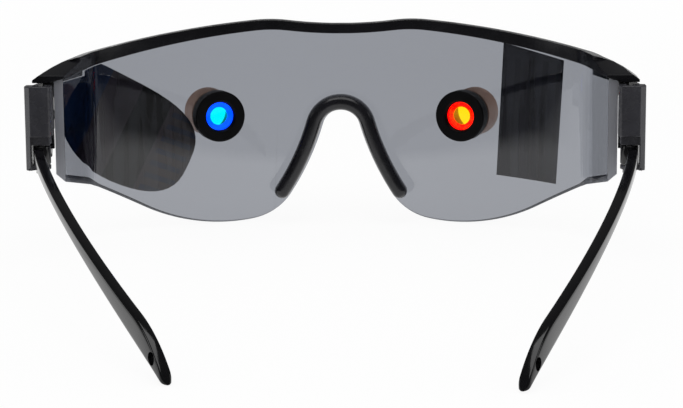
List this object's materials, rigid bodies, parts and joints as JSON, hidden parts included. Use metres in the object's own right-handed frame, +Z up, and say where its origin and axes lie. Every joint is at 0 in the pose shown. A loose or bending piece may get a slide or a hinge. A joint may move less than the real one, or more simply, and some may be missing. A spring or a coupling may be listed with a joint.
{
  "type": "vision training glasses",
  "caption": "Wraparound smoke visor with two colour-filtered viewing tubes, soft nose bridge and folding, tilting arms.",
  "frame": {"origin": "on the floor under the middle of the object's box, as it stands on its lower edge and arm tips", "axes": "+Z up, -Y out of the front of the visor, +Y back along the arms, +X to the wearer's left (the blue filter's side)"},
  "size_m": [0.147, 0.1543, 0.052],
  "materials": {
    "smoke_visor": "moulded smoke polycarbonate, polished",
    "black_nylon": "moulded black nylon, glossy",
    "soft_black": "soft black elastomer, half gloss",
    "label_film": "printed film label",
    "ivory_barrel": "moulded ivory ABS",
    "black_ring": "black moulded ring",
    "blue_filter": "clear blue acrylic",
    "red_filter": "clear red acrylic",
    "dark_disc": "matt dark disc",
    "pin_steel": "drawn steel pin"
  },
  "bodies": {
    "front": {"visor": "smoke_visor", "brow_bar": "black_nylon", "nose_bridge": "soft_black", "label_oval": "label_film", "label_strip": "label_film", "barrel_left": "ivory_barrel", "barrel_right": "ivory_barrel", "retaining_ring_left": "black_ring", "retaining_ring_right": "black_ring", "filter_left": "blue_filter", "filter_right": "red_filter", "aperture_disc_left": "dark_disc", "aperture_disc_right": "dark_disc", "tilt_pin_left": "pin_steel", "tilt_pin_right": "pin_steel"},
    "hinge_left": {"hinge_block_left": "black_nylon", "fold_pin_left": "pin_steel"},
    "hinge_right": {"hinge_block_right": "black_nylon", "fold_pin_right": "pin_steel"},
    "temple_left": {"arm_left": "black_nylon"},
    "temple_right": {"arm_right": "black_nylon"}
  },
  "joints": [
    {"name": "tilt_left", "type": "hinge", "parent": "front", "child": "hinge_left", "pos_m": [0.06985, -0.03751, 0.03371], "axis": [1, 0, 0], "range_deg": [-10, 5]},
    {"name": "tilt_right", "type": "hinge", "parent": "front", "child": "hinge_right", "pos_m": [-0.06985, -0.03751, 0.03371], "axis": [1, 0, 0], "range_deg": [-10, 5]},
    {"name": "fold_left", "type": "hinge", "parent": "hinge_left", "child": "temple_left", "pos_m": [0.06985, -0.02463, 0.0288], "axis": [0, -0.0541, 0.9985], "range_deg": [-10.4, 76.6]},
    {"name": "fold_right", "type": "hinge", "parent": "hinge_right", "child": "temple_right", "pos_m": [-0.06985, -0.02463, 0.0288], "axis": [0, 0.0541, -0.9985], "range_deg": [-4.1, 70.9]}
  ]
}
